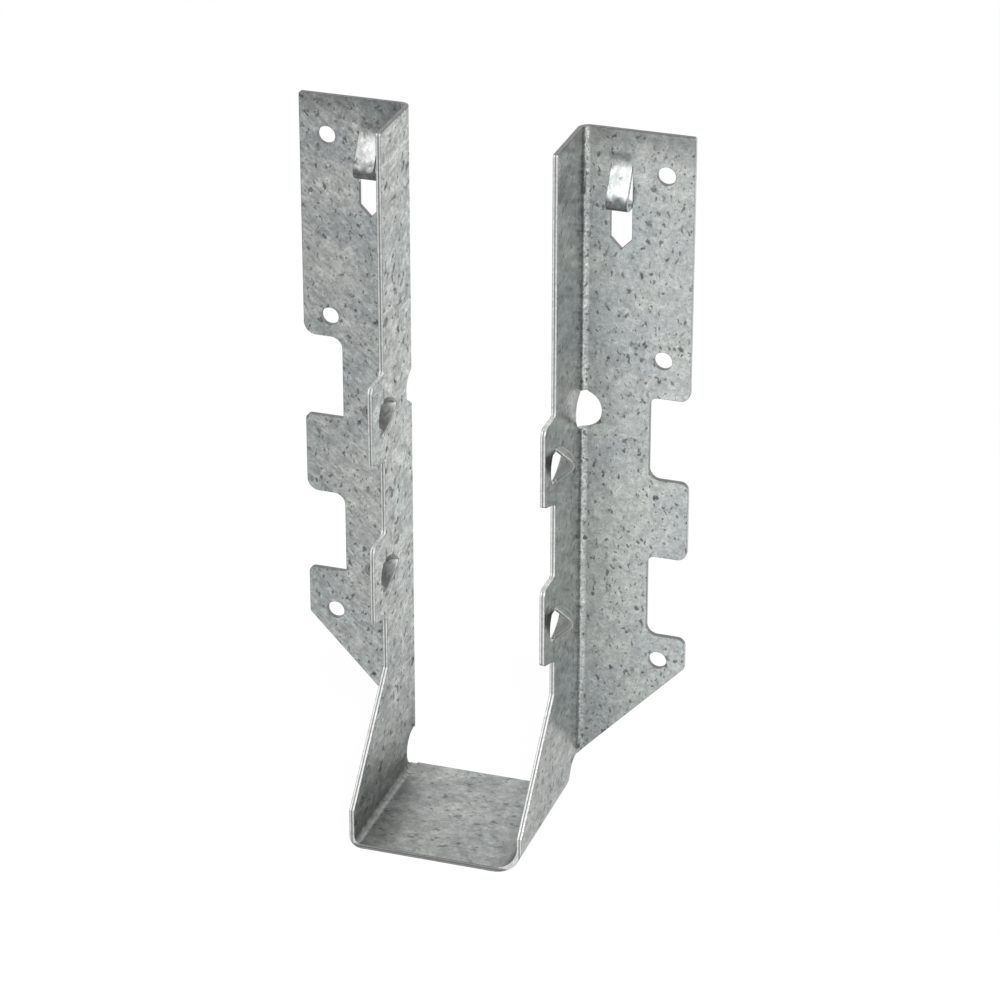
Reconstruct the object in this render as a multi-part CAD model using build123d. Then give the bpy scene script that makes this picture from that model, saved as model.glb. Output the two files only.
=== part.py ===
from build123d import *
import os

# Face-mount joist hanger, folded from one galvanised sheet. All sizes are millimetres.
# X runs across the joist, the header's face is the plane Y = 0, the joist comes from -Y, and Z is up.
# The origin is on the header's face, midway between the side plates, level with the top of the seat.

# Sheet, and the joist it carries
sheet = 1.2
joist_width = 39.7
plate_height = 167.1

# Inside radii of the folds: the right edge of the seat is rolled more gently than the left
flange_fold = 1.4
seat_fold_left = 1.6
seat_fold_right = 6.0

# Side plates: depth forward of the header, then a bevel that widens them down to the seat
plate_depth = 20.5
plate_corner = 0.6
bevel_top = 34.0
bevel_bottom = 8.4

# Seat, and the round relief where a plate, a flange and the seat come together
seat_depth = 44.5
seat_back = 4.5
relief_radius = 4.6
relief_forward = 3.6
relief_height = 4.2
relief_undercut = 1.4

# Nail tabs on the front edge of each side plate: each stands a little above the notch behind it
tab_reach = 7.8
tab_height = 21.7
tab_above_notch = 1.3
tab_pitch = 40.2
tab_lift = 2.5
tab_corner = 1.9
tab_heel = 1.0
tab_root = 1.2

# Domes that guide the angled joist nails: a slit in line with the plate's front edge opens each one.
# A dome's sides would meet at its apex, and the crest rounds them off below that.
# The taper gives the share of its size that is left at each share of its length behind the slit.
dome_apex = 5.3
dome_apex_lift = 0.8
dome_length = 8.2
dome_half_height = 4.6
dome_crest = 1.7
dome_wall = 0.75
dome_taper = ((0, 1.0), (0.45, 0.78), (0.85, 0.34), (1.0, 0.06))
left_dome_below_tab_top = 10.3
right_dome_below_tab_top = 12.2
slit_width = 0.35
slit_above_dome = 7.0
slit_below_dome = 4.9

# Gap ahead of each dome, cut into the tab so that the nail clears it: a shallow arc with square ends
gap_half_height = 3.7
gap_ends = 2.2
gap_middle = 3.6

# Nailing flanges, with holes for the nails into the header
flange_width = 25.5
flange_corner = 0.5
bevel_foot = 35.1
foot_corner = 1.0
nail_hole = 4.3
nail_hole_inset = 6.5
top_hole_below_plate_top = 9.7
middle_hole_above_notch = 5.1
low_hole_above_bevel = 1.2
fold_hole = 9.5
fold_hole_height = 98.4
fold_hole_forward = 1.0

# Notches in the outer edge of each flange: the left pair stands higher than the right pair
notch_depth = 9.4
notch_height = 20.5
notch_pitch = 40.2
left_notch_top = 107.7
right_notch_top = 103.4
left_notch_radii = {"bottom_lip": 1.3, "bottom_root": 0.8, "top_root": 2.8, "top_lip": 3.0}
right_notch_radii = {"bottom_lip": 2.0, "bottom_root": 2.6, "top_root": 1.8, "top_lip": 2.3}

# Prongs that hold the hanger on the header before nailing, each struck forward out of its own slot
slot_width = 5.1
slot_inset = 16.8
slot_below_plate_top = 8.3
slot_length = 20.1
slot_point = 2.6
prong_side_gap = 0.1
prong_reach = 5.4
prong_drop = 9.2
prong_root_fold = 1.5
prong_knee_fold = 1.0
prong_bite = 2.6
prong_tip_drop = 0.5

# Worked out from the sizes above
half_joist = joist_width / 2
outer_face = half_joist + sheet
flange_edge = outer_face + flange_width
fold_line = -(flange_fold + sheet)
slot_centre = flange_edge - slot_inset
slot_top = plate_height - slot_below_plate_top
slot_bottom = slot_top - slot_length
left_tab_top = left_notch_top + tab_above_notch
right_tab_top = right_notch_top + tab_above_notch
nail_hole_heights = (
    plate_height - top_hole_below_plate_top,
    left_notch_top + middle_hole_above_notch,
    bevel_foot + low_hole_above_bevel,
)
clear = plate_height


def yz_plane(x=0.0):
    """Drawing plane at the given X: its axes are world Y and Z, and it faces +X."""
    return Plane(origin=(x, 0, 0), x_dir=(0, 1, 0), z_dir=(1, 0, 0))


def xz_plane(y=0.0):
    """Drawing plane at the given Y: its axes are world X and Z, and it faces -Y."""
    return Plane(origin=(0, y, 0), x_dir=(1, 0, 0), z_dir=(0, -1, 0))


def outline(plane, corners):
    """A closed face on a plane, from corners that are each given as across, up and radius."""
    points = [corner[:2] for corner in corners]
    radii = [corner[2] for corner in corners]
    return plane * make_face(FilletPolyline(*points, radius=radii, close=True))


def stirrup_section():
    """The U seen from the front: two side plates joined by the seat."""
    return [
        (-outer_face, plate_height, 0),
        (-outer_face, -sheet, seat_fold_left + sheet),
        (outer_face, -sheet, seat_fold_right + sheet),
        (outer_face, plate_height, 0),
        (half_joist, plate_height, 0),
        (half_joist, 0, seat_fold_right),
        (-half_joist, 0, seat_fold_left),
        (-half_joist, plate_height, 0),
    ]


def nail_tab(upper):
    """The stretch of a side plate's front edge that one nail tab makes, read downwards."""
    lower = upper - tab_height
    front = -plate_depth - tab_reach
    return [
        (-plate_depth, upper, tab_root),
        (front, upper, tab_corner),
        (front, lower + tab_lift, tab_heel),
        (-plate_depth, lower, tab_root),
    ]


def side_outline(tab_top):
    """The stirrup seen from the side, clockwise from the top of the plate's fold."""
    return [
        (fold_line, plate_height, 0),
        (-plate_depth, plate_height, plate_corner),
        *nail_tab(tab_top),
        *nail_tab(tab_top - tab_pitch),
        (-plate_depth, bevel_top, 0),
        (-seat_depth, bevel_bottom, 0),
        (-seat_depth, -sheet, 0),
        (-seat_back, -sheet, 0),
        (-seat_back, relief_height, 0),
        (fold_line, relief_height, 0),
    ]


def stirrup():
    """Side plates and seat: the U drawn out along the joist, then each half trimmed to its side outline."""
    u_shape = extrude(outline(xz_plane(), stirrup_section()), seat_depth)
    right_trim = extrude(outline(yz_plane(), side_outline(right_tab_top)), outer_face)
    left_trim = extrude(outline(yz_plane(), side_outline(left_tab_top)), outer_face)
    return u_shape & (right_trim + on_left(left_trim))


def flange_section():
    """The right flange seen from above: the end of the side plate, the fold and the flange."""
    plate_end = fold_line - sheet
    return [
        (half_joist, plate_end, 0),
        (half_joist, 0, flange_fold + sheet),
        (flange_edge, 0, 0),
        (flange_edge, -sheet, 0),
        (outer_face, -sheet, flange_fold),
        (outer_face, plate_end, 0),
    ]


def notch(upper, radii):
    """The stretch of a flange's outer edge that one notch makes, read upwards."""
    lower = upper - notch_height
    root = flange_edge - notch_depth
    return [
        (flange_edge, lower, radii["bottom_lip"]),
        (root, lower, radii["bottom_root"]),
        (root, upper, radii["top_root"]),
        (flange_edge, upper, radii["top_lip"]),
    ]


def flange_outline(notch_top, notch_radii):
    """The right flange seen from the front: a bevelled foot, two notches and square shoulders."""
    slope = (bevel_foot - bevel_bottom) / flange_width
    plate_foot = bevel_bottom - slope * sheet
    return [
        (half_joist, plate_foot, 0),
        (flange_edge, bevel_foot, foot_corner),
        *notch(notch_top - notch_pitch, notch_radii),
        *notch(notch_top, notch_radii),
        (flange_edge, plate_height, flange_corner),
        (half_joist, plate_height, 0),
    ]


def nail_holes():
    """Drills for the nails that go square through a flange into the header."""
    column = flange_edge - nail_hole_inset
    drill = Rot(X=90) * Cylinder(nail_hole / 2, clear)
    return [Pos(column, 0, height) * drill for height in nail_hole_heights]


def fold_hole_punch():
    """The large hole that was punched across the flange's fold line before the sheet was folded."""
    reach = 2 * (flange_fold + sheet)
    through_flange = Rot(X=90) * Cylinder(fold_hole / 2, reach)
    inwards = Rot(Y=90) * Cylinder(fold_hole / 2, reach, align=(Align.CENTER, Align.CENTER, Align.MAX))
    through_plate = Pos(flange_fold, -fold_hole_forward, 0) * inwards
    return Pos(outer_face, 0, fold_hole_height) * (through_flange + through_plate)


def corner_relief():
    """The round hole at the foot of the flange's fold, with the seat's corner below it cut away."""
    reach = flange_edge
    inner = half_joist - relief_undercut
    round_part = Pos(inner + reach / 2, -relief_forward, relief_height) * Rot(Y=90) * Cylinder(relief_radius, reach)
    below = Pos(inner, -seat_back, relief_height) * Box(
        reach, relief_radius, clear, align=(Align.MIN, Align.MIN, Align.MAX)
    )
    return round_part + below


def prong_slot():
    """The slot that a prong leaves in its flange, square above and pointed below."""
    half = slot_width / 2
    shoulder = slot_bottom + slot_point
    corners = [
        (slot_centre - half, slot_top, 0),
        (slot_centre + half, slot_top, 0),
        (slot_centre + half, shoulder, 0),
        (slot_centre, slot_bottom, 0),
        (slot_centre - half, shoulder, 0),
    ]
    return extrude(outline(xz_plane(), corners), clear, both=True)


def prong():
    """A pointed tongue: it leans forward from the top of its slot, then turns back through the slot."""
    middle = -sheet / 2
    knee = slot_top - prong_drop
    path = FilletPolyline(
        (middle, slot_top + sheet),
        (middle, slot_top),
        (middle - prong_reach, knee),
        (prong_bite, knee - prong_tip_drop),
        radius=[prong_root_fold + sheet / 2, prong_knee_fold + sheet / 2],
    )
    strip = extrude(yz_plane(slot_centre) * trace(path, sheet), slot_width / 2 - prong_side_gap, both=True)
    half = slot_width / 2
    shoulder = prong_bite - slot_point
    point = [
        (slot_centre - half, -clear, 0),
        (slot_centre - half, shoulder, 0),
        (slot_centre, prong_bite, 0),
        (slot_centre + half, shoulder, 0),
        (slot_centre + half, -clear, 0),
    ]
    return strip & extrude(outline(Plane.XY, point), clear * 2)


def dome(height, face, crest):
    """A half-cone with a rounded crest, standing on a plate's face and open towards the slit."""
    sections = []
    for back, share in dome_taper:
        corners = [
            (face - sheet / 4, height + dome_half_height * share, 0),
            (face + dome_apex * share, height + dome_apex_lift * share, crest * share),
            (face - sheet / 4, height - dome_half_height * share, 0),
        ]
        sections.append(outline(xz_plane(-plate_depth + dome_length * back), corners))
    return loft(sections)


def nail_gap(height):
    """The opening between a dome's slit and the tab ahead of it, bowed towards the tab."""
    slit_line = -plate_depth
    ends = slit_line - gap_ends
    top = (slit_line, height + gap_half_height)
    bottom = (slit_line, height - gap_half_height)
    bow = ThreePointArc((ends, bottom[1]), (slit_line - gap_middle, height), (ends, top[1]))
    edges = [Line((ends, top[1]), top), Line(top, bottom), Line(bottom, (ends, bottom[1])), bow]
    return extrude(yz_plane(outer_face) * make_face(edges), 2 * sheet, both=True)


def right_side(notch_top, notch_radii):
    """The right flange with the end of its side plate, before any hole is made."""
    section = extrude(outline(Plane.XY, flange_section()), clear)
    trim = extrude(outline(xz_plane(), flange_outline(notch_top, notch_radii)), clear, both=True)
    return section & trim


def on_left(right):
    """The mirror image, on the left, of a form drawn on the right."""
    return mirror(right, about=Plane.YZ)


def both_sides(right):
    """A form drawn on the right, with its mirror image on the left."""
    return right + on_left(right)


def dome_heights(tab_top, below_tab_top):
    """The height of the middle of each dome on one side."""
    return [tab_top - below_tab_top - step * tab_pitch for step in range(2)]


def slit(height):
    """The shear cut that frees a dome's rim from the nail tab in front of it."""
    width = dome_apex + 4 * sheet
    middle = height + (slit_above_dome - slit_below_dome) / 2
    return Pos(outer_face, -plate_depth - slit_width / 2, middle) * Box(
        width, slit_width, slit_above_dome + slit_below_dome
    )


def dome_opening(height):
    """What a dome has cut out of the sheet: the hollow behind it, its slit and the nail gap."""
    hollow = dome(height, half_joist, dome_crest + dome_wall - sheet)
    return hollow + slit(height) + nail_gap(height)


def make_hanger():
    """The whole hanger: one folded sheet, pierced, with its domes and prongs formed."""
    hanger = stirrup() + right_side(right_notch_top, right_notch_radii)
    hanger += on_left(right_side(left_notch_top, left_notch_radii))
    for height in dome_heights(right_tab_top, right_dome_below_tab_top):
        hanger += dome(height, outer_face, dome_crest)
        hanger -= dome_opening(height)
    for height in dome_heights(left_tab_top, left_dome_below_tab_top):
        hanger += on_left(dome(height, outer_face, dome_crest))
        hanger -= on_left(dome_opening(height))
    for cut in (*nail_holes(), fold_hole_punch(), corner_relief(), prong_slot()):
        hanger -= both_sides(cut)
    return hanger + both_sides(prong())


def main():
    os.makedirs("parts", exist_ok=True)
    export_step(make_hanger(), "parts/joist_hanger.step")


if __name__ == "__main__":
    main()
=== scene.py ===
from math import radians
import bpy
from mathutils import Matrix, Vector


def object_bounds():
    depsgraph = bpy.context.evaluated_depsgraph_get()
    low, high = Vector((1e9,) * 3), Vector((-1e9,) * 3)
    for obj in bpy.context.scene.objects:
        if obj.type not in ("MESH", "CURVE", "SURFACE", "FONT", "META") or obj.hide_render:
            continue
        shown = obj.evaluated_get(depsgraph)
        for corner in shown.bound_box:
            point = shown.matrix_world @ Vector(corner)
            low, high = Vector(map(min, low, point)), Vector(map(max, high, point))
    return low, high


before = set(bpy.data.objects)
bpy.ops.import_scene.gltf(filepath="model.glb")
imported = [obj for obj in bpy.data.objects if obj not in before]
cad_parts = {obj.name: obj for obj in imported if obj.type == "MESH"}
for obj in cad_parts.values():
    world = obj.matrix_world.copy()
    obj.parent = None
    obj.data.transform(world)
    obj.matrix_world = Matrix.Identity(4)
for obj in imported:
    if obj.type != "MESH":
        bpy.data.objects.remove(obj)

from types import SimpleNamespace

import bpy
from mathutils import Matrix, Vector

CAD_LOW, CAD_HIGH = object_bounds()

# Sizes of the hanger that its finish follows, in millimetres. The top of the seat is at height 0, and HAIR is
# a small margin round an area
SHEET = 1.2
HALF_SHEET = SHEET / 2
OUTER_FACE = 21.05
INNER_FACE = OUTER_FACE - SHEET
HALF_WIDTH = 46.55
FOLD_REACH = 2.6
SEAT_DEPTH = 44.5
SEAT_FOLD_TOP = 7.7
PRONG_CENTRE, PRONG_HALF_WIDTH = 29.85, 2.5
PRONG_LOW, PRONG_KNEE, PRONG_HIGH = 147.0, 151.2, 160.5
PRONG_REACH = 9.0
DOME_FRONT, DOME_BACK = -20.3, -8.4
HAIR = 0.1

# How squarely a spot faces along an axis, to count as a face, a sheared edge, a level top or a dome's rim
FACE, EDGE, LEVEL, RIM = 0.7, 0.6, 0.9, 0.97

# Camera: where it stands, in metres, how it is turned and its focal length in widths of the frame
CAMERA_PLACE = Vector((0.2660, -0.7922, 0.4824))
CAMERA_YAW = radians(18.5)
CAMERA_PITCH = radians(26.2)
CAMERA_FOCAL = 4.0
SENSOR = 36.0

# Light: the lamp's place and width in metres and its watts, and the world's strength as plain light and,
# in the metal, overhead
KEY_PLACE, KEY_WIDTH, KEY_WATTS = (0.5, -0.9, 0.9), 0.6, 9.0
WORLD_LIGHT = 0.55
WORLD_OVERHEAD = 0.72

# Floor: its strength to the eye and the share of it that glows; in the metal, its strength in the painted
# shadow by the hanger, and how much duller it is ahead to the left, as painted shade, and behind
FLOOR_TO_EYE, FLOOR_GLOW = 1.05, 0.88
FLOOR_SHADOW_NEAR, FLOOR_SHADE_LEFT, FLOOR_BEHIND = 0.62, 0.88, 0.17

# Zinc, steel and floor colours, written as they render under plain light
ZINC_COOL = (0.550, 0.586, 0.588, 1.0)
ZINC_WARM = (0.594, 0.618, 0.596, 1.0)
SPECK = (0.085, 0.095, 0.094, 1.0)
CUT_STEEL = (0.860, 0.864, 0.856, 1.0)
TORN_STEEL = (0.200, 0.212, 0.208, 1.0)
# Painted shade as a dark line along every edge
EDGE_SHADE = (0.052, 0.058, 0.056, 1.0)
# Painted highlight along the domes' rims
RIM_HIGHLIGHT = (0.950, 0.952, 0.945, 1.0)
# Struck zinc on the prongs, with a painted highlight
BARE_PRONG_HIGHLIGHT = (0.960, 0.965, 0.965, 1.0)
# Painted shade on the prongs' knees
KNEE_SHADE = (0.150, 0.162, 0.162, 1.0)
FLOOR_WHITE = (0.93, 0.93, 0.93, 1.0)

# How far each finish, and each painted highlight and painted shade, covers the one under it, and the share
# of the zinc's marks that is left on the seat
SPECK_COVER, FLECK_COVER, SEAT_MARKS = 0.88, 0.70, 0.66
PRONG_COVER, KNEE_COVER = 0.92, 0.85
TORN_COVER, RIM_COVER, LINE_COVER = 0.85, 0.80, 0.90

# How much lighter or darker each noise makes the zinc, as a share of its brightness
CLOUDS, PATCHES, MOTTLE, GRAIN, FINE_GRAIN = 0.05, 0.04, 0.15, 0.18, 0.12
LEFT_RIDGES, SEAT_CLOUDS, PLATE_BLOTCHES = 0.20, 0.10, 0.14

# Painted shade in the corners, as shares of the brightness: the plates' outer faces by the flanges, their
# inner faces by the seat, the seat by the plates, the flanges' rolled tops, the left one's corner, above the
# prongs
BY_FLANGE = (0.42, 0.58)
BY_SEAT = 0.62
BY_PLATE = (0.10, 0.36)
ROLLED_TOP, LEFT_CORNER, ABOVE_PRONG = 0.40, 0.48, 0.45

# Painted shade in the hollow of each dome: how dark it is at the front and at the back
DOME_SHADE = (0.66, 0.05)

# Brightness of a darker sheared edge, as a share of a bright one's; on the walls of the holes and slots it is
# painted shade
DARKER_EDGE = 0.38

# Torn line along the middle of a sheared edge, in millimetres: half its width, on the seat too, and its fade
TORN_HALF, SEAT_TORN_HALF, TORN_FADE = 0.10, 0.14, 0.10

# Range that a noise mostly keeps to, and a tighter one for slow or coarse noise
NOISE_RANGE = (0.3, 0.7)
TIGHT_RANGE = (0.35, 0.65)

# Pace of the zinc's marks across and along the plates and the seat, where they are larger than on the flanges
PLATE_PACE = (0.48, 0.78)
SEAT_PACE = (0.70, 0.62)

# Specks: the cell that holds one, its girths, its bend and its raggedness in millimetres, the share of cells
# that hold one, and how much closer they lie across and along
SPECK_CELL = 3.0
SPECK_GIRTHS = (0.14, 0.60)
SPECK_BEND, SPECK_RAGGED = 3.0, 0.07
SPECK_SHARE = 0.84
SPECK_CLOSER = (1.25, 0.72)

# Flecks: the scale of their noise, and the level below which it is dark
FLECK_SCALE = 0.95
FLECK_LEVEL = 0.355

# Gloss: the zinc's roughness, and what the outer plate faces, the dark marks and the prongs change in it
ROUGHNESS = (0.38, 0.48)
OUTER_SMOOTHER, MARKS_ROUGHER, PRONGS_SMOOTHER = 0.25, 0.15, 0.08

# Rounding of the edges and depth of the zinc's relief, in metres
EDGE_ROUNDING = 0.00024
RELIEF_DEPTH = 0.00012


class Graph:
    """The shader nodes of one material. A value is a number, a colour or another node's output."""

    def __init__(self, tree):
        self.tree = tree
        tree.nodes.clear()

    def feed(self, socket, value):
        if isinstance(value, bpy.types.NodeSocket):
            self.tree.links.new(value, socket)
        else:
            socket.default_value = value

    def node(self, kind, inputs=None, **settings):
        node = self.tree.nodes.new("ShaderNode" + kind)
        for name, value in settings.items():
            setattr(node, name, value)
        for name, value in (inputs or {}).items():
            self.feed(node.inputs[name], value)
        return node

    def math(self, operation, *values, clamp=False):
        node = self.node("Math", operation=operation, use_clamp=clamp)
        for socket, value in zip(node.inputs, values):
            self.feed(socket, value)
        return node.outputs[0]

    def chain(self, operation, first, *others):
        """Takes in one value after the other."""
        for other in others:
            first = self.math(operation, first, other)
        return first

    def product(self, *values):
        return self.chain("MULTIPLY", *values)

    def total(self, *values):
        return self.chain("ADD", *values)

    def either(self, *values):
        return self.chain("MAXIMUM", *values)

    def minus(self, first, *others):
        return self.chain("SUBTRACT", first, *others)

    def inverse(self, value):
        return self.minus(1.0, value)

    def absolute(self, value):
        return self.math("ABSOLUTE", value)

    def sign(self, value):
        return self.math("SIGN", value)

    def above(self, value, limit):
        return self.math("GREATER_THAN", value, limit)

    def below(self, value, limit):
        return self.math("LESS_THAN", value, limit)

    def spread(self, value, low, high, new_low=0.0, new_high=1.0, smooth=True):
        """Maps low..high to new_low..new_high and holds it there beyond both ends."""
        inputs = {"Value": value, "From Min": low, "From Max": high, "To Min": new_low, "To Max": new_high}
        kind = "SMOOTHSTEP" if smooth else "LINEAR"
        return self.node("MapRange", inputs, interpolation_type=kind).outputs["Result"]

    def sway(self, noise, low, high, usual=NOISE_RANGE):
        """Maps the usual range of a noise to low..high."""
        return self.spread(noise, *usual, low, high, smooth=False)

    def vary(self, noise, share):
        """Around 1, lower or higher by up to the share."""
        return self.sway(noise, 1 - share, 1 + share)

    def where(self, mask, value):
        """The value on the mask and 1 off it."""
        return self.spread(mask, 0.0, 1.0, 1.0, value, smooth=False)

    def within(self, value, centre, half, soft):
        """1 where the value lies within half of the centre, fading out over soft."""
        away = self.absolute(self.minus(value, centre))
        return self.spread(away, half, half + soft, 1.0, 0.0)

    def between(self, value, low, high, soft):
        """1 where the value lies between low and high, fading out over soft."""
        return self.within(value, (low + high) / 2, (high - low) / 2, soft)

    def blend(self, factor, first, second):
        """The first colour, covered by the second as far as the factor says."""
        node = self.node("Mix", data_type="RGBA", blend_type="MIX")
        for index, value in ((0, factor), (6, first), (7, second)):
            self.feed(node.inputs[index], value)
        return node.outputs[2]

    def vector(self, operation, first, second=None, scale=None):
        node = self.node("VectorMath", operation=operation)
        self.feed(node.inputs[0], first)
        if second is not None:
            self.feed(node.inputs[1], second)
        if scale is not None:
            self.feed(node.inputs["Scale"], scale)
        return node.outputs["Value" if operation == "DOT_PRODUCT" else "Vector"]

    def shaded(self, colour, brightness):
        """A colour made lighter or darker. A written colour has its alpha left off."""
        if not isinstance(colour, bpy.types.NodeSocket):
            colour = colour[:3]
        return self.vector("SCALE", colour, scale=brightness)

    def noise(self, place, scale, detail=2.0, roughness=0.5, distortion=0.0, colour=False):
        inputs = {"Vector": place, "Scale": scale, "Detail": detail, "Roughness": roughness}
        inputs["Distortion"] = distortion
        return self.node("TexNoise", inputs).outputs["Color" if colour else "Fac"]

    def split(self, vector):
        return self.node("SeparateXYZ", {"Vector": vector}).outputs


def spot_on_sheet(g):
    """What the finish follows: a spot's place in millimetres, the way it faces and the noises of the zinc."""
    place = g.vector("SCALE", g.node("TexCoord").outputs["Object"], scale=1000.0)
    at = SimpleNamespace(normal=g.node("NewGeometry").outputs["Normal"])
    at.x, at.y, at.z = g.split(place)
    at.nx, at.ny, at.nz = g.split(at.normal)
    at.facing_x, at.facing_y, at.facing_z = (g.absolute(part) for part in (at.nx, at.ny, at.nz))
    at.side = g.absolute(at.x)
    at.outwards = g.product(at.nx, g.sign(at.x))
    at.on_plate = g.above(at.facing_x, FACE)
    at.on_seat = g.above(at.facing_z, FACE)
    at.frontal = g.above(at.facing_y, FACE)
    at.flat = across_sheet(g, at)
    at.cloud = g.noise(at.flat, 0.10, 3.0)
    at.patch = g.noise(g.vector("ADD", at.flat, (31.0, 7.0, 0.0)), 0.05)
    at.mottle = g.noise(at.flat, 0.40, 2.0, 0.55, 0.5)
    at.grain = g.noise(at.flat, 1.05, 2.0, 0.6, 0.7)
    return at


def across_sheet(g, at):
    """Flat coordinates on each face of the sheet: one across the strip, then one along it.

    Opposite faces and the two plates lie far apart in them, so that no marks repeat."""
    neither = g.inverse(g.either(at.on_plate, at.on_seat))
    by_face = g.product(g.sign(g.total(at.nx, at.ny, at.nz)), 31.0)
    by_plate = g.product(at.on_plate, g.sign(at.x), 67.0)
    across = g.total(
        g.product(neither, at.x),
        g.product(at.on_plate, at.y, PLATE_PACE[0]),
        g.product(at.on_seat, at.y, SEAT_PACE[0]),
        by_face,
        by_plate,
    )
    along = g.total(
        g.product(neither, at.z),
        g.product(at.on_plate, at.z, PLATE_PACE[1]),
        g.product(at.on_seat, at.x, SEAT_PACE[1]),
    )
    return g.node("CombineXYZ", {"X": across, "Y": along}).outputs[0]


def specks(g, flat):
    """Dark marks in the zinc, ragged and bent, one in each kept cell and no two equally dark."""
    bend = g.vector("SUBTRACT", g.noise(flat, 0.45, colour=True), (0.5, 0.5, 0.5))
    moved = g.vector("ADD", flat, g.vector("SCALE", bend, scale=SPECK_BEND))
    across, along = (closer / SPECK_CELL for closer in SPECK_CLOSER)
    stretched = g.vector("MULTIPLY", moved, (across, along, 0.0))
    out = g.node("TexVoronoi", {"Vector": stretched, "Scale": 1.0}, voronoi_dimensions="2D").outputs
    chance, girth, strength = g.split(out["Color"])
    thin, thick = (size / SPECK_CELL for size in SPECK_GIRTHS)
    reach = g.spread(girth, 0.0, 1.0, thin, thick, smooth=False)
    ragged = g.sway(g.noise(flat, 1.8), -SPECK_RAGGED, SPECK_RAGGED)
    mark = g.spread(g.total(g.minus(reach, out["Distance"]), ragged), -0.05, 0.11)
    crowd = g.sway(g.noise(flat, 0.09), 0.75, 1.15, TIGHT_RANGE)
    there = g.below(chance, g.product(crowd, SPECK_SHARE))
    return g.product(mark, there, g.spread(strength, 0.0, 1.0, 0.55, 1.0, smooth=False))


def flecks(g, flat):
    """Smaller dark flecks between the specks, thicker in some places than in others."""
    drawn = g.vector("MULTIPLY", g.vector("ADD", flat, (40.0, 28.0, 0.0)), (1.0, 0.66, 1.0))
    level = g.sway(g.noise(drawn, 0.08), FLECK_LEVEL - 0.03, FLECK_LEVEL + 0.02, TIGHT_RANGE)
    depth = g.minus(level, g.noise(drawn, FLECK_SCALE, 1.0, 0.5, 0.3))
    return g.spread(depth, -0.01, 0.07)


def prong_area(g, at, soft):
    """1 over the two prongs as seen from the front, fading out over soft above and below them."""
    across = g.within(at.side, PRONG_CENTRE, PRONG_HALF_WIDTH + 0.06, 0.02)
    return g.product(across, g.between(at.z, PRONG_LOW, PRONG_HIGH, soft))


def cut_edges(g, at):
    """Masks of the sheared edges: all of them, the darker ones, the torn line along them, the domes' rims."""
    on_prong = prong_area(g, at, HAIR)
    near_header = g.above(at.y, -PRONG_REACH)
    flange_zone = g.product(near_header, g.above(at.side, INNER_FACE + FOLD_REACH))
    off_flange = g.inverse(flange_zone)
    flange_cut = g.product(flange_zone, g.below(at.facing_y, EDGE), g.inverse(on_prong))
    prong_cut = g.product(on_prong, at.on_plate)

    on_stirrup = g.product(off_flange, g.below(at.y, -FOLD_REACH))
    front = g.above(at.facing_y, EDGE)
    level = g.product(g.above(at.facing_z, EDGE), g.above(at.z, SEAT_FOLD_TOP))
    by_dome = g.product(g.between(at.y, DOME_FRONT, DOME_BACK, HAIR), g.below(at.z, PRONG_LOW))
    beyond_plate = g.above(at.side, OUTER_FACE + HAIR)
    rim = g.product(on_stirrup, beyond_plate, g.above(at.facing_y, RIM))
    plate_cut = g.product(on_stirrup, g.inverse(beyond_plate), g.either(front, level), g.inverse(by_dome))
    top = g.product(g.above(at.facing_z, LEVEL), g.above(at.z, PRONG_HIGH))
    cut = g.either(flange_cut, prong_cut, rim, plate_cut, top)

    # Painted shade: the walls of the holes and slots are darkened as if in shadow; the tops and the seat's
    # front edge are darker too
    opening = g.product(flange_cut, g.below(at.side, HALF_WIDTH - 0.2))
    seat_edge = g.product(g.below(at.z, 0.02), g.below(at.y, 0.05 - SEAT_DEPTH))
    darker_edge = g.either(opening, top, g.product(seat_edge, 0.75))

    plate_middle = g.within(at.side, OUTER_FACE - HALF_SHEET, TORN_HALF, TORN_FADE)
    seat_middle = g.within(at.z, -HALF_SHEET, SEAT_TORN_HALF, TORN_FADE)
    flange_middle = g.within(at.y, -HALF_SHEET, TORN_HALF, TORN_FADE)
    torn_plate = g.product(off_flange, front, plate_middle)
    torn_seat = g.product(g.below(at.y, -PRONG_REACH), front, seat_middle)
    torn_flange = g.product(flange_zone, flange_middle)
    torn = g.product(cut, g.either(torn_plate, torn_seat, torn_flange))
    return cut, darker_edge, torn, rim


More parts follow.
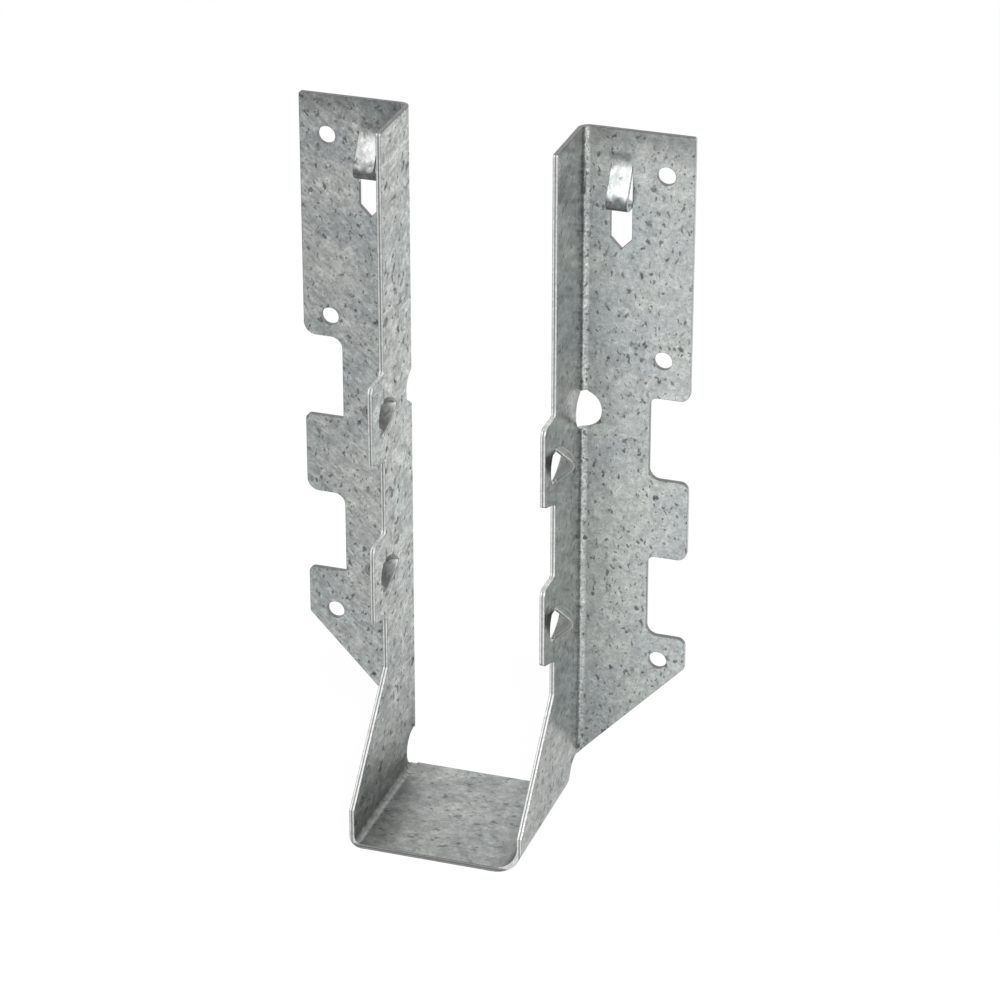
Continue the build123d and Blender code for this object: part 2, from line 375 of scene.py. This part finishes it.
def painted_corner_shade(g, at):
    """Painted shade: how far a fold's inside corner, or the prong beside it, darkens each face."""
    # Painted shade: the plates' outer faces darken towards the flanges, less so at the foot
    by_flange = g.product(
        g.spread(at.y, -9.0, -FOLD_REACH, *BY_FLANGE),
        g.spread(at.y, -2.2, -1.6, 1.0, 0.0),
        g.above(at.outwards, 0.3),
        g.spread(at.z, 12.0, 50.0, 0.30, 1.0),
    )
    # Painted shade: the plates' inner faces darken towards the seat, and the seat towards the plates
    inner_face = g.spread(at.outwards, -0.80, -0.05, 1.0, 0.26)
    by_seat = g.product(inner_face, g.spread(at.z, 1.3, 23.0, BY_SEAT, 0.0))
    on_seat = g.product(g.spread(at.nz, 0.2, 0.9), g.below(at.z, SEAT_FOLD_TOP))
    by_plate = g.product(on_seat, g.spread(at.side, 8.0, 17.0, *BY_PLATE))
    # Painted shade: the flanges darken at their rolled tops, in the left one's upper corner and above the
    # prongs
    flange_face = g.product(g.below(at.ny, -FACE), g.above(at.side, OUTER_FACE + 1.0))
    rolled_top = g.spread(at.z, 159.0, 166.8, 0.0, ROLLED_TOP)
    left_corner = g.product(
        g.spread(at.x, -36.0, -24.0, 0.0, LEFT_CORNER),
        g.spread(at.z, 140.0, 158.0),
        g.below(at.x, 0.0),
    )
    above_prong = g.product(
        g.within(at.side, PRONG_CENTRE - 0.4, PRONG_HALF_WIDTH - 0.6, 1.2),
        g.within(at.z, PRONG_HIGH + 0.5, 0.3, 1.3),
        ABOVE_PRONG,
    )
    by_top = g.product(flange_face, g.either(rolled_top, left_corner, above_prong))
    return g.either(by_flange, by_seat, by_plate, by_top)


def painted_hollow_shade(g, at):
    """Painted shade in the hollow of each dome: darkest at the front, fading towards the back and under the
    top.
    """
    return g.product(
        g.below(at.outwards, -0.05),
        g.spread(at.side, INNER_FACE + 0.03, INNER_FACE + 0.4),
        g.below(at.y, DOME_BACK + 0.2),
        g.spread(at.nz, -0.7, -0.2, 0.25, 1.0),
        g.spread(at.y, -18.0, -10.5, *DOME_SHADE),
    )


def zinc_tone_and_painted_shade(g, at):
    """How bright the zinc is: noise of several sizes, left ridges, cracking on the folds, and painted shade
    on the folds, in the corners and in the domes.
    """
    fine = g.noise(at.flat, 2.7, 2.0, 0.6)
    worms = g.absolute(g.minus(g.noise(at.flat, 0.62, 2.0, 0.5, 1.6), 0.5))
    slanting = g.node("VectorRotate", {"Vector": at.flat, "Angle": radians(45)}).outputs[0]
    ridges = g.noise(g.vector("MULTIPLY", slanting, (0.36, 1.0, 1.0)), 1.15, 2.0, 0.5, 0.3)
    on_left_flange = g.product(at.frontal, g.below(at.x, 0.0))
    blotches = g.product(g.total(at.mottle, at.grain), 0.5)
    blotched = g.sway(blotches, 1 - PLATE_BLOTCHES, 1 + PLATE_BLOTCHES, TIGHT_RANGE)
    # Cracking in the zinc along the folds by the flanges, also made darker overall as painted shade in that
    # inside corner
    cracked_and_shaded = g.sway(g.noise(at.flat, 1.4, 3.0, 0.7), 0.55, 1.20, TIGHT_RANGE)
    on_fold = g.product(
        g.above(at.facing_x, 0.2),
        g.above(at.facing_y, 0.2),
        g.above(at.side, OUTER_FACE),
        g.above(at.y, -FOLD_REACH - HAIR),
    )
    return g.product(
        g.vary(at.cloud, CLOUDS),
        g.vary(at.patch, PATCHES),
        g.vary(at.mottle, MOTTLE),
        g.vary(at.grain, GRAIN),
        g.vary(fine, FINE_GRAIN),
        g.spread(worms, 0.0, 0.06, 1.10, 0.98, smooth=False),
        g.where(on_left_flange, g.vary(ridges, LEFT_RIDGES)),
        g.where(at.on_seat, g.vary(at.cloud, SEAT_CLOUDS)),
        g.where(at.on_plate, blotched),
        g.where(on_fold, cracked_and_shaded),
        # Painted shade in the fold corners, at the flanges' rolled tops and above the prongs
        g.inverse(painted_corner_shade(g, at)),
        # Painted shade in the hollow of each dome
        g.inverse(painted_hollow_shade(g, at)),
    )


def struck_prongs_with_painted_light(g, at):
    """Masks of the prongs: their struck face, with a painted highlight brightest towards the right, and their
    knees in painted shade.
    """
    on_prong = g.product(prong_area(g, at, 0.3), g.spread(at.y, -1.6, -1.1, 1.0, 0.0))
    ragged = g.sway(at.mottle, -0.9, 0.9)
    struck = g.product(on_prong, g.spread(g.total(at.z, ragged), PRONG_KNEE + 0.2, PRONG_KNEE + 2.4))
    across = g.minus(at.x, g.product(g.sign(at.x), PRONG_CENTRE))
    # Painted highlight: brightest towards the right of each prong and dimmer towards its top
    highlight_towards_right = g.spread(g.total(across, g.product(ragged, 1.9)), -2.3, 0.9, 0.16, 1.0)
    bare_and_highlight = g.product(struck, highlight_towards_right, g.spread(at.z, PRONG_HIGH - 4.5, PRONG_HIGH, 1.0, 0.25))
    # Painted shade on the prongs below the struck face
    return bare_and_highlight, g.product(on_prong, g.inverse(struck))


def galvanised_sheet():
    """Hot-dip zinc on folded sheet: mottled grey, dark specks, sheared edges and struck prongs, with painted
    highlights and painted shade.
    """
    material = bpy.data.materials.new("galvanised_sheet")
    material.use_nodes = True
    g = Graph(material.node_tree)
    at = spot_on_sheet(g)

    tint = g.spread(g.total(g.product(at.patch, 0.6), g.product(at.cloud, 0.4)), 0.38, 0.62)
    tint = g.math("ADD", tint, g.product(g.inverse(at.frontal), 0.35), clamp=True)
    zinc = g.shaded(g.blend(tint, ZINC_COOL, ZINC_WARM), zinc_tone_and_painted_shade(g, at))
    large = g.product(specks(g, at.flat), SPECK_COVER)
    small = g.product(flecks(g, at.flat), FLECK_COVER)
    marks = g.product(g.either(large, small), g.where(at.on_seat, SEAT_MARKS))
    colour = g.blend(marks, zinc, SPECK)

    # Struck zinc on the prongs with a painted highlight, and painted shade on their knees
    bare_and_highlight, shaded_knee = struck_prongs_with_painted_light(g, at)
    bare_highlight = g.shaded(BARE_PRONG_HIGHLIGHT, g.sway(at.grain, 0.80, 1.14))
    colour = g.blend(g.product(bare_and_highlight, PRONG_COVER), colour, bare_highlight)
    # Painted shade on the prongs' knees, mottled
    mottled_knee_shade = g.shaded(KNEE_SHADE, g.sway(at.grain, 0.55, 1.5))
    colour = g.blend(g.product(shaded_knee, KNEE_COVER), colour, mottled_knee_shade)

    cut, darker_edge, torn, rim = cut_edges(g, at)
    sheared = g.shaded(CUT_STEEL, g.sway(at.grain, 0.78, 1.10))
    # Painted shade on the walls of the holes and slots; the tops and the seat's front edge darker too
    sheared = g.shaded(sheared, g.spread(darker_edge, 0.0, 1.0, 1.0, DARKER_EDGE))
    sheared = g.blend(g.product(torn, TORN_COVER), sheared, TORN_STEEL)
    colour = g.blend(cut, colour, sheared)
    colour = g.blend(g.product(rim, RIM_COVER), colour, TORN_STEEL)

    rounded = g.node("Bevel", {"Radius": EDGE_ROUNDING}, samples=5).outputs["Normal"]
    # Painted shade as a dark line along every edge, and a painted highlight instead along the domes' rims
    edge_shade_line = g.spread(g.vector("DOT_PRODUCT", rounded, at.normal), 0.90, 0.99, 1.0, 0.0)
    edge_shade_and_rim_highlight = g.blend(rim, EDGE_SHADE, RIM_HIGHLIGHT)
    colour = g.blend(g.product(edge_shade_line, LINE_COVER), colour, edge_shade_and_rim_highlight)

    outer_plate = g.above(at.outwards, FACE)
    rough = g.total(g.sway(at.cloud, *ROUGHNESS), g.product(marks, MARKS_ROUGHER))
    rough = g.minus(rough, g.product(outer_plate, OUTER_SMOOTHER), g.product(bare_and_highlight, PRONGS_SMOOTHER))
    height = g.total(g.product(at.grain, 0.6), g.product(at.mottle, 0.4))
    relief = {"Strength": 0.4, "Distance": RELIEF_DEPTH, "Height": height, "Normal": rounded}
    bump = g.node("Bump", relief).outputs["Normal"]
    surface = {"Base Color": colour, "Metallic": 1.0, "Roughness": rough, "Normal": bump}
    shader = g.node("BsdfPrincipled", surface)
    g.node("OutputMaterial", {"Surface": shader.outputs[0]})
    return material


def pale_floor():
    """A white sheet that keeps a faint shadow, and is duller in the metal than to the eye.

    In the metal it is dullest close to the hanger, as a painted shadow, and ahead to its left, as painted
    shade."""
    material = bpy.data.materials.new("pale_floor")
    material.use_nodes = True
    g = Graph(material.node_tree)
    x, y, _ = g.split(g.node("TexCoord").outputs["Object"])
    reach = g.math("SQRT", g.total(g.product(x, x), g.product(y, y)))
    # Painted shadow of the hanger on the floor, as the metal mirrors it
    painted_shadow_near = g.spread(reach, 0.02, 0.11, FLOOR_SHADOW_NEAR, 1.0)
    # Painted shade ahead to the left, as the metal mirrors it
    aside = g.total(x, g.product(y, -0.34))
    left = g.product(
        g.spread(aside, -0.08, 0.03, FLOOR_SHADE_LEFT, 0.0),
        g.spread(y, -0.24, -0.02, 1.0, 0.62),
        g.spread(y, -0.06, 0.0, 1.0, 0.0),
    )
    behind = g.spread(y, 0.0, 0.12, 0.0, FLOOR_BEHIND)
    mirrored = g.product(painted_shadow_near, g.inverse(left), g.inverse(behind))
    rays = g.node("LightPath").outputs
    to_eye, in_metal = rays["Is Camera Ray"], rays["Is Glossy Ray"]
    strength = g.either(g.product(to_eye, FLOOR_TO_EYE), g.product(in_metal, mirrored))
    paper = g.node("BsdfDiffuse", {"Color": FLOOR_WHITE}).outputs[0]
    glow = g.node("Emission", {"Color": (1.0, 1.0, 1.0, 1.0), "Strength": strength}).outputs[0]
    mix = g.node("MixShader", {"Fac": g.product(g.either(to_eye, in_metal), FLOOR_GLOW)})
    g.feed(mix.inputs[1], paper)
    g.feed(mix.inputs[2], glow)
    g.node("OutputMaterial", {"Surface": mix.outputs[0]})
    return material


def add_floor(height):
    """A floor far wider than the view, level with what the hanger stands on."""
    half = 6.0
    mesh = bpy.data.meshes.new("floor")
    corners = [(-half, -half, height), (half, -half, height), (half, half, height), (-half, half, height)]
    mesh.from_pydata(corners, [], [(0, 1, 2, 3)])
    floor = bpy.data.objects.new("floor", mesh)
    floor.data.materials.append(pale_floor())
    bpy.context.scene.collection.objects.link(floor)


def add_key_lamp(target):
    """A square soft lamp in front, to the right and above, facing the target."""
    data = bpy.data.lights.new("key", "AREA")
    data.size = KEY_WIDTH
    data.energy = KEY_WATTS
    lamp = bpy.data.objects.new("key", data)
    lamp.location = KEY_PLACE
    lamp.rotation_euler = (target - Vector(KEY_PLACE)).to_track_quat("-Z", "Y").to_euler()
    bpy.context.scene.collection.objects.link(lamp)


def add_camera():
    """The camera stands to the right of the hanger, above it, and looks down at it."""
    data = bpy.data.cameras.new("camera")
    data.sensor_width = SENSOR
    data.lens = CAMERA_FOCAL * SENSOR
    camera = bpy.data.objects.new("camera", data)
    upright = Matrix.Rotation(radians(90), 4, "X")
    turn = Matrix.Rotation(CAMERA_YAW, 4, "Z") @ Matrix.Rotation(-CAMERA_PITCH, 4, "X")
    camera.matrix_world = Matrix.Translation(CAMERA_PLACE) @ turn @ upright
    bpy.context.scene.collection.objects.link(camera)
    bpy.context.scene.camera = camera


def set_world():
    """White round the horizon, for the view and for the metal, greyer overhead; softer as plain light."""
    world = bpy.data.worlds.new("studio")
    bpy.context.scene.world = world
    world.use_nodes = True
    g = Graph(world.node_tree)
    rays = g.node("LightPath").outputs
    _, along, up = g.split(g.node("TexCoord").outputs["Generated"])
    overhead = g.spread(up, 0.05, 0.60, 1.0, WORLD_OVERHEAD)
    in_front = g.spread(along, -0.5, -0.1, 1.0, 0.0)
    in_metal = g.product(rays["Is Glossy Ray"], g.either(overhead, in_front))
    strength = g.either(rays["Is Camera Ray"], in_metal, WORLD_LIGHT)
    background = g.node("Background", {"Color": (1.0, 1.0, 1.0, 1.0), "Strength": strength})
    g.node("OutputWorld", {"Surface": background.outputs[0]})


def main():
    bpy.context.scene.view_settings.view_transform = "Standard"
    add_camera()
    set_world()
    add_floor(CAD_LOW.z)
    add_key_lamp((CAD_LOW + CAD_HIGH) / 2)
    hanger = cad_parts["joist_hanger"]
    hanger.data.materials.clear()
    hanger.data.materials.append(galvanised_sheet())


main()
